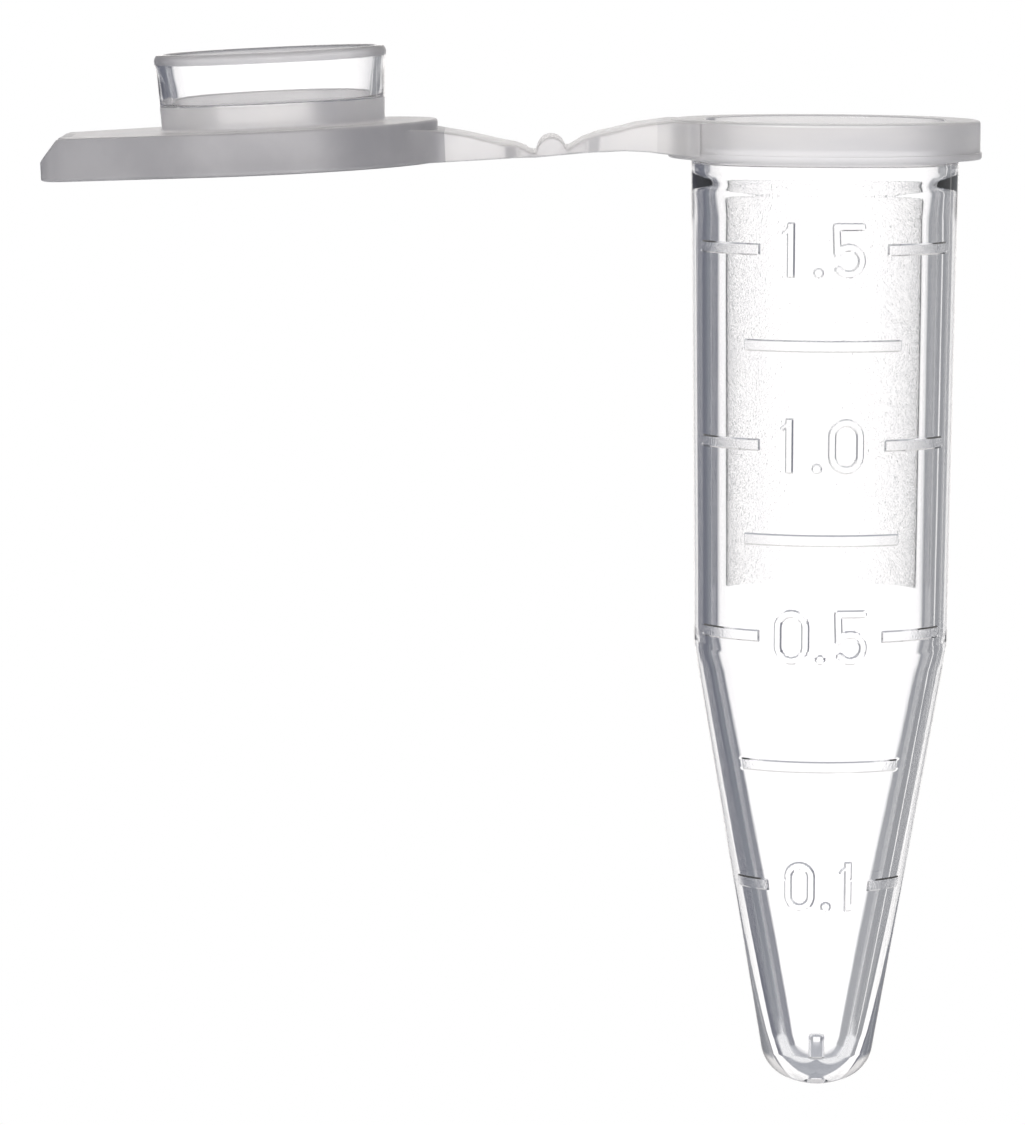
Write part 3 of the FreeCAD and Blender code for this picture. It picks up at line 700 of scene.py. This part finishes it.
def lid_rings():
    """Cross-sections of the lid as (share, radius, height).

    A ring's radius is the given one, moved by its share of the way to the plan's outline, where the
    radius is then an inset. The rings run from the outer face over the edge to the plug and into it.
    """
    under = -LID_THICKNESS
    floor = under + RECESS_DEPTH
    rings = [(0, 1.5, floor), (0, 3.2, floor)]
    bevel = 0.06
    near_edge = 0.94
    rings += [(0, radius, height) for radius, height in
              line((RECESS_RADIUS - bevel, floor), (RECESS_RADIUS + bevel, under), bevel)]
    rings += [(share, RECESS_RADIUS + 0.1, under) for share in np.linspace(0.0, near_edge, 5)]
    rings += [(1, -radius, height) for radius, height in
              arc((LID_UNDER_EDGE, under + LID_UNDER_EDGE), LID_UNDER_EDGE, -math.pi / 2, -math.pi, 6)]
    rings += [(1, 0.0, height) for height in np.linspace(under + 0.45, -0.3, 6)]
    rings += [(1, -radius, height) for radius, height in
              arc((LID_TOP_EDGE, -LID_TOP_EDGE), LID_TOP_EDGE, math.pi, math.pi / 2, 5)]
    foot = 0.15
    rings += [(share, PLUG_BASE_RADIUS + foot, 0.0) for share in np.linspace(near_edge, 0.0, 10)]
    lip_start = PLUG_HEIGHT - 0.55
    lip_side = PLUG_TOP_RADIUS + 0.045
    crown = 0.1
    corner = 0.12
    plug = arc((PLUG_BASE_RADIUS + foot, foot), foot, 1.5 * math.pi, math.pi, 4)[1:]
    plug += line((PLUG_BASE_RADIUS + 0.01, foot + 0.2), (PLUG_TOP_RADIUS, lip_start), 0.3)
    plug += [(lip_side, lip_start + 0.15), (PLUG_LIP_RADIUS, lip_start + 0.28),
             (lip_side, PLUG_HEIGHT - 0.15)]
    plug += arc((PLUG_TOP_RADIUS - crown, PLUG_HEIGHT - crown), crown, math.radians(30), math.pi / 2, 4)
    plug += arc((PLUG_BORE_TOP + crown, PLUG_HEIGHT - crown), crown, math.pi / 2, math.pi, 4)
    plug += line((PLUG_BORE_TOP, PLUG_HEIGHT - 0.2), (PLUG_BORE_BASE, PLUG_FLOOR_HEIGHT + corner), 0.3)
    plug += arc((PLUG_BORE_BASE - corner, PLUG_FLOOR_HEIGHT + corner), corner, 0.0, -math.pi / 2, 4)
    plug += [(3.2, PLUG_FLOOR_HEIGHT), (1.5, PLUG_FLOOR_HEIGHT)]
    return rings + [(0, radius, height) for radius, height in plug]


def lid_skin():
    """Disc, thumb tab and hollow plug as one closed skin."""
    angles = np.linspace(-math.pi, math.pi, LID_COLUMNS, endpoint=False)
    plan = lid_plan(angles)
    vertices = []
    rings = []
    for share, radius, height in lid_rings():
        inset_plan = plan + radius
        reach = inset_plan if share == 1 else radius + share * (plan - radius)
        u = reach * np.cos(angles)
        y = reach * np.sin(angles)
        drop = np.clip((-u - TAB_REACH + TAB_CHAMFER_REACH) * TAB_CHAMFER_DROP / TAB_CHAMFER_REACH, 0, None)
        n = np.where(height <= 0, height - drop * (height + LID_THICKNESS) / LID_THICKNESS, height)
        rings.append(list(range(len(vertices), len(vertices) + len(angles))))
        vertices += np.stack([u, y, n], axis=-1).tolist()
    poles = (len(vertices), len(vertices) + 1)
    vertices += [(0, 0, RECESS_DEPTH - LID_THICKNESS), (0, 0, PLUG_FLOOR_HEIGHT)]
    faces = fan(rings[0], poles[0])
    for first, second in zip(rings, rings[1:]):
        faces += ring_faces(first, second)
    faces += fan(rings[-1], poles[1])
    skin = new_piece("lid_shell", vertices, faces)
    face_outwards(skin)
    return skin


def lid_hinge():
    """Strap and thin fold on the lid's side, as one solid rooted in the disc."""
    sections = strap_sections(LID_STRAP_TOP, LID_STRAP_BOTTOM, LID_RADIUS, LID_NECK, 0.06)
    return loft("lid_hinge", [[(reach, y, n) for y, n in section] for reach, section in sections])


def lid_finish(u, y, n):
    """Which of the lid's materials a face with this centre, in the lid's own millimetres, is given. The
    darker lid material is a painted shade.
    """
    outside_plug = math.hypot(u, y) > PLUG_TOP_RADIUS - 0.03
    on_lip = outside_plug and PLUG_HEIGHT - 0.42 < n < PLUG_HEIGHT - 0.03
    on_plug_wall = n > PLUG_FLOOR_HEIGHT + 0.02
    on_upper_face = n > -0.01
    on_strap = u > LID_RADIUS + 0.3
    # The upper face gets the light strap plastic. The outer face, edge and plug lip get a darker grey copy
    # of it, which is painted shade.
    if on_plug_wall:
        return SHADED_LID if on_lip else CLEAR
    return STRAP if on_upper_face or on_strap else SHADED_LID


# ------------------------------------------------------------------ materials

class Tree:
    """Shorthand for building a node tree."""

    def __init__(self, tree):
        self.tree = tree
        tree.nodes.clear()

    def add(self, kind, **settings):
        node = self.tree.nodes.new("ShaderNode" + kind)
        for name, value in settings.items():
            setattr(node, name, value)
        return node

    def put(self, socket, value):
        if isinstance(value, bpy.types.NodeSocket):
            self.tree.links.new(value, socket)
        else:
            socket.default_value = value

    def math(self, operation, *values, clamp=False):
        node = self.add("Math", operation=operation, use_clamp=clamp)
        for socket, value in zip(node.inputs, values):
            self.put(socket, value)
        return node.outputs[0]

    def step(self, value, low, high):
        """Smooth step from 0 at low to 1 at high."""
        node = self.add("MapRange", interpolation_type="SMOOTHSTEP")
        self.put(node.inputs["Value"], value)
        node.inputs["From Min"].default_value = low
        node.inputs["From Max"].default_value = high
        return node.outputs[0]

    def noise(self, place, scale, detail):
        node = self.add("TexNoise")
        self.put(node.inputs["Vector"], place)
        node.inputs["Scale"].default_value = scale
        node.inputs["Detail"].default_value = detail
        return node.outputs["Fac"]

    def blend(self, share, first, second):
        node = self.add("Mix", data_type="RGBA")
        self.put(node.inputs[0], share)
        self.put(node.inputs[6], first)
        self.put(node.inputs[7], second)
        return node.outputs[2]


def plastic(name, tint, cloud_tint, milk, roughness, rough_spread, grain, grain_size, flow,
            stretch=(1.0, 1.0, 1.0)):
    """Natural polypropylene: clear with a slight haze, flow lines along the tube and a mould texture.

    The tint changes into cloud_tint in clouds, which stretch draws out along an axis where it is
    small. A dark tint, as on the lid, is a painted shade. milk is the share of light that the
    plastic scatters. The roughness varies by rough_spread in all. grain is the depth of the mould
    texture, grain_size its size and flow the depth of the flow lines, all in millimetres.
    """
    material = bpy.data.materials.new(name)
    material.use_nodes = True
    tree = Tree(material.node_tree)
    output = tree.add("OutputMaterial")
    shader = tree.add("BsdfPrincipled")
    tree.put(output.inputs["Surface"], shader.outputs[0])
    place = tree.add("TexCoord").outputs["Object"]

    drawn_out = tree.add("VectorMath", operation="MULTIPLY")
    tree.put(drawn_out.inputs[0], place)
    drawn_out.inputs[1].default_value = stretch
    cloud = tree.step(tree.noise(drawn_out.outputs[0], CLOUD_SCALE, 4.0), 0.35, 0.65)
    tree.put(shader.inputs["Base Color"], tree.blend(cloud, tint, cloud_tint))
    shader.inputs["IOR"].default_value = POLYPROPYLENE_IOR
    shader.inputs["Transmission Weight"].default_value = 1.0 - milk

    texture = tree.noise(place, 1 / (grain_size * MM), 3.0)
    rough = tree.math("MULTIPLY_ADD", texture, rough_spread, roughness - rough_spread / 2)
    tree.put(shader.inputs["Roughness"], rough)

    stretched = tree.add("VectorMath", operation="MULTIPLY")
    tree.put(stretched.inputs[0], place)
    stretched.inputs[1].default_value = FLOW_STRETCH
    lines = tree.noise(stretched.outputs[0], FLOW_SCALE, 2.0)
    flow_bump = tree.add("Bump")
    flow_bump.inputs["Distance"].default_value = flow * MM
    tree.put(flow_bump.inputs["Height"], lines)
    bump = tree.add("Bump")
    bump.inputs["Distance"].default_value = grain * MM
    tree.put(bump.inputs["Height"], texture)
    tree.put(bump.inputs["Normal"], flow_bump.outputs[0])
    tree.put(shader.inputs["Normal"], bump.outputs[0])
    return material


# ------------------------------------------------------------------ stage

def round_the_compass(tree, turn, stops):
    """Colour by azimuth. A stop is (degrees from straight behind the tube, colour)."""
    ramp = tree.add("ValToRGB")
    tree.put(ramp.inputs[0], turn)
    elements = ramp.color_ramp.elements
    while len(elements) < len(stops):
        elements.new(0.5)
    for element, (angle, colour) in zip(elements, stops):
        element.position = angle / 360 + 0.5
        element.color = (*colour, 1.0)
    return ramp.outputs[0]


def sky_colour(tree, direction):
    """Soft studio round the object: a white screen behind it, grey gaps beside that, a pale rest.

    There is also a bright strip in the gap on the right and a grey panel at each side of the front.
    """
    split = tree.add("SeparateXYZ")
    tree.put(split.inputs[0], direction)
    east, north, up = split.outputs
    turn = tree.math("MULTIPLY_ADD", tree.math("ARCTAN2", east, north), 1 / (2 * math.pi), 0.5)
    level = round_the_compass(tree, turn, [
        (-180, PALE), (-128, PALE), (-120, GAP), (-108, GAP), (-100, PALE), (-88, PALE),
        (-68, LEFT_GAP), (-42, LEFT_GAP), (-36, LEFT_SHADE), (-16.5, LEFT_SHADE), (-14.5, SCREEN),
        (17.5, SCREEN), (19.5, RIGHT_GAP), (41, RIGHT_GAP), (42, SCREEN), (43, SCREEN), (44, RIGHT_GAP),
        (68, RIGHT_GAP), (88, PALE), (100, PALE), (108, GAP), (120, GAP), (128, PALE), (180, PALE),
    ])
    below = round_the_compass(tree, turn, [
        (-180, PALE), (-40, PALE), (-30, TABLE), (30, TABLE), (40, PALE), (180, PALE),
    ])
    under = tree.step(up, *(math.sin(math.radians(elevation)) for elevation in TABLE_EDGE))
    over = tree.step(up, *(math.sin(math.radians(elevation)) for elevation in CEILING_EDGE))
    lit = tree.blend(under, level, below)
    return tree.blend(over, lit, (*CEILING, 1.0))


def make_world():
    """The studio's light, which the camera itself sees as plain white."""
    world = bpy.data.worlds.new("studio")
    bpy.context.scene.world = world
    world.use_nodes = True
    tree = Tree(world.node_tree)
    output = tree.add("OutputWorld")
    background = tree.add("Background")
    background.inputs["Strength"].default_value = SKY_STRENGTH
    tree.put(output.inputs[0], background.outputs[0])
    direction = tree.add("TexCoord").outputs["Generated"]
    seen = tree.add("LightPath").outputs["Is Camera Ray"]
    white = (1 / SKY_STRENGTH,) * 3 + (1.0,)
    tree.put(background.inputs["Color"], tree.blend(seen, sky_colour(tree, direction), white))


def make_floor():
    """Plain pale floor, seen by the camera only, so that it sheds no light of its own."""
    half = 3000.0
    drop = TIP_BOTTOM - 25.0
    corners = [(-half, -half, drop), (half, -half, drop), (half, half, drop), (-half, half, drop)]
    floor = new_piece("floor", corners, [(0, 1, 2, 3)])
    material = bpy.data.materials.new("pale_floor")
    material.use_nodes = True
    tree = Tree(material.node_tree)
    output = tree.add("OutputMaterial")
    glow = tree.add("Emission")
    clear = tree.add("BsdfTransparent")
    mix = tree.add("MixShader")
    tree.put(mix.inputs[0], tree.add("LightPath").outputs["Is Camera Ray"])
    tree.put(mix.inputs[1], clear.outputs[0])
    tree.put(mix.inputs[2], glow.outputs[0])
    tree.put(output.inputs["Surface"], mix.outputs[0])
    floor.data.materials.append(material)


def make_lamp(name, place, power, size, tint):
    """Square soft lamp that looks at the middle of the object. Lengths are in metres."""
    data = bpy.data.lights.new(name, "AREA")
    data.energy = power
    data.size = size
    data.color = tint
    lamp = bpy.data.objects.new(name, data)
    bpy.context.scene.collection.objects.link(lamp)
    lamp.location = place
    middle = Vector((-0.012, 0, -0.016))
    aim = middle - Vector(place)
    lamp.rotation_euler = aim.to_track_quat("-Z", "Y").to_euler()


def make_camera():
    """Camera in front of the tube, a little above its rim and turned slightly about its own axis."""
    distance = 300.0
    side = -12.47
    above_rim = 10.35
    pitch = math.radians(5.392)
    roll = math.radians(0.32)
    focal_length = 238.56
    data = bpy.data.cameras.new("camera")
    data.sensor_fit = "AUTO"
    data.sensor_width = 36.0
    data.lens = focal_length
    data.clip_start = 0.01
    data.clip_end = 20.0
    camera = bpy.data.objects.new("camera", data)
    bpy.context.scene.collection.objects.link(camera)
    place = Vector((side, -distance, COLLAR_TOP + above_rim)) * MM
    tilt = Matrix.Rotation(math.pi / 2 - pitch, 4, "X")
    spin = Matrix.Rotation(roll, 4, "Z")
    camera.matrix_world = Matrix.Translation(place) @ tilt @ spin
    bpy.context.scene.camera = camera


# ------------------------------------------------------------------ build

finishes = [
    plastic("natural_wall", tint=(0.99, 0.99, 0.995, 1), cloud_tint=(0.975, 0.975, 0.985, 1),
            milk=0.01, roughness=0.012, rough_spread=0.01, grain=0.0002, grain_size=0.3, flow=0.001),
    plastic("milky_rim", tint=(0.86, 0.845, 0.84, 1), cloud_tint=(0.74, 0.735, 0.755, 1),
            milk=0.36, roughness=0.34, rough_spread=0.06, grain=0.002, grain_size=0.15, flow=0.001,
            stretch=(0.15, 0.15, 1.0)),
    plastic("raised_marks", tint=(0.97, 0.97, 0.98, 1), cloud_tint=(0.95, 0.95, 0.965, 1),
            milk=0.04, roughness=0.10, rough_spread=0.04, grain=0.012, grain_size=0.09, flow=0.0),
    plastic("frosted_panel", tint=(0.985, 0.98, 0.975, 1), cloud_tint=(0.97, 0.965, 0.965, 1),
            milk=0.02, roughness=0.06, rough_spread=0.04, grain=0.055, grain_size=0.09, flow=0.0),
    # The lid's plastic is the strap's plastic painted a darker grey: a painted shade on the lid's outer
    # face, edge and plug lip.
    plastic("milky_lid_painted_shade", tint=(0.58, 0.572, 0.59, 1), cloud_tint=(0.50, 0.494, 0.515, 1),
            milk=0.40, roughness=0.36, rough_spread=0.06, grain=0.002, grain_size=0.15, flow=0.001),
    plastic("milky_strap", tint=(0.96, 0.945, 0.94, 1), cloud_tint=(0.90, 0.89, 0.90, 1),
            milk=0.34, roughness=0.34, rough_spread=0.06, grain=0.002, grain_size=0.15, flow=0.001),
]

tube = tube_skin()
join_solid(tube, tube_hinge())
shade(tube)
paint(tube, finishes, tube_finish)
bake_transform(tube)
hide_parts("mouth_rim", "rim_collar", "tube_barrel", "tube_cone", "tube_tip", "gate_nub",
            "full_volume_bars", "half_volume_bars", "numeral_1_5", "numeral_1_0", "numeral_0_5",
            "numeral_0_1", "writing_panel", "tube_strap", "tube_fold_web", "hinge_link", "hinge_bead")

lid = lid_skin()
join_solid(lid, lid_hinge())
shade(lid)
paint(lid, finishes, lid_finish)
lid.data.transform(lid_matrix())
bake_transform(lid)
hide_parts("lid_fold_web", "lid_strap", "lid_disc", "thumb_tab", "plug_floor", "plug_skirt", "plug_lip")

make_world()
make_floor()
make_lamp("key", place=(-0.25, -0.35, 0.35), power=0.5, size=0.25, tint=(1.0, 0.99, 0.97))
make_camera()
bpy.context.scene.view_settings.view_transform = "Standard"
